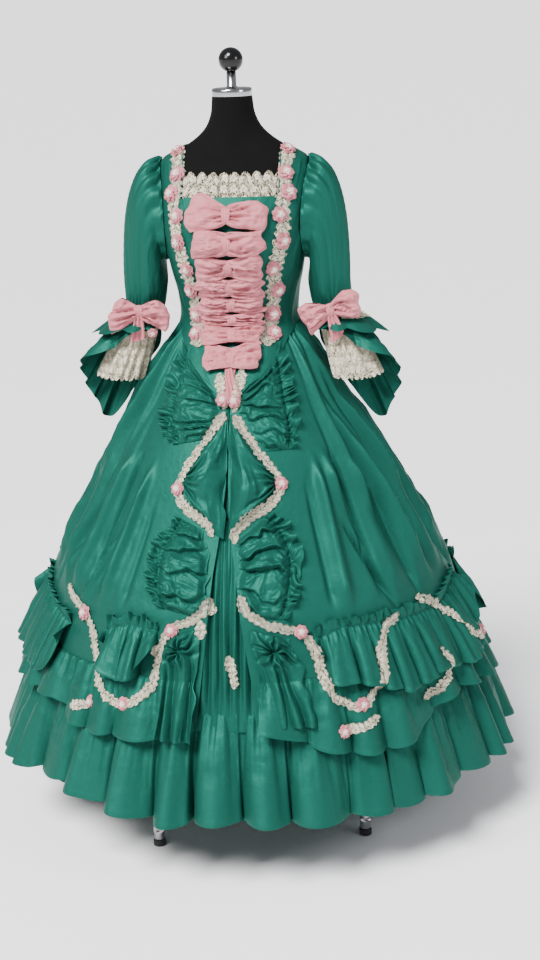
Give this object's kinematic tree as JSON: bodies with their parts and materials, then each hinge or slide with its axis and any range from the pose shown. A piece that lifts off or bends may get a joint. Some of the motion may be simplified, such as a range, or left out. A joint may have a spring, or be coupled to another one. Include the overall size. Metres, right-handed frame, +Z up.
{
  "type": "ball gown on a dress form",
  "caption": "Rococo-style ball gown of green taffeta with ruched open overskirt, ruffles, lace edging, roses and pink chiffon bows, shown on a limbless dress form with a legged chrome stand",
  "frame": {"origin": "on the floor, below the middle of the gown's widest extent at the hem", "axes": "+Z up, -Y the gown's front, +X the wearer's left"},
  "size_m": [1.1064, 1.0403, 1.6288],
  "materials": {
    "green_taffeta": "soft sheen silk-like taffeta",
    "pink_chiffon": "matt sheer chiffon",
    "cream_lace": "matt corded lace",
    "form_jersey": "matt black jersey",
    "chrome": "polished",
    "black_gloss": "gloss black",
    "rubber": "matt black"
  },
  "bodies": {
    "root": {"ball_knob": "black_gloss", "bodice_back_left": "green_taffeta", "bodice_back_right": "green_taffeta", "bodice_front_left": "green_taffeta", "bodice_front_right": "green_taffeta", "bottom_ruffle": "green_taffeta", "bow_1": "pink_chiffon", "bow_2": "pink_chiffon", "bow_3": "pink_chiffon", "bow_4": "pink_chiffon", "bow_5": "pink_chiffon", "bow_6": "pink_chiffon", "bow_7": "pink_chiffon", "bow_8": "pink_chiffon", "bow_tails": "pink_chiffon", "cuff_bow_left": "pink_chiffon", "cuff_bow_right": "pink_chiffon", "cuff_lace_left": "cream_lace", "cuff_lace_right": "cream_lace", "cuff_upper_ruffle_left": "green_taffeta", "cuff_upper_ruffle_right": "green_taffeta", "cuff_wing_left": "green_taffeta", "cuff_wing_right": "green_taffeta", "edging_lace_left": "cream_lace", "edging_lace_right": "cream_lace", "fall_left": "green_taffeta", "fall_right": "green_taffeta", "festoon_back": "green_taffeta", "festoon_left": "green_taffeta", "festoon_right_front": "green_taffeta", "festoon_right_side": "green_taffeta", "foot_1": "rubber", "foot_2": "rubber", "foot_3": "rubber", "foot_4": "rubber", "form_torso": "form_jersey", "lace_diamond_left": "cream_lace", "lace_diamond_right": "cream_lace", "lace_swag_left": "cream_lace", "lace_swag_right": "cream_lace", "lace_swag_side": "cream_lace", "middle_ruffle": "green_taffeta", "neck_cap": "chrome", "neckline_lace": "cream_lace", "overskirt_back": "green_taffeta", "overskirt_left": "green_taffeta", "overskirt_right": "green_taffeta", "petticoat": "green_taffeta", "petticoat_front": "green_taffeta", "pouf_left": "green_taffeta", "pouf_right": "green_taffeta", "ruched_lower_left": "green_taffeta", "ruched_lower_right": "green_taffeta", "ruched_upper_left": "green_taffeta", "ruched_upper_right": "green_taffeta", "sleeve_left": "green_taffeta", "sleeve_right": "green_taffeta", "stand": "chrome", "stomacher": "green_taffeta"}
  },
  "joints": []
}
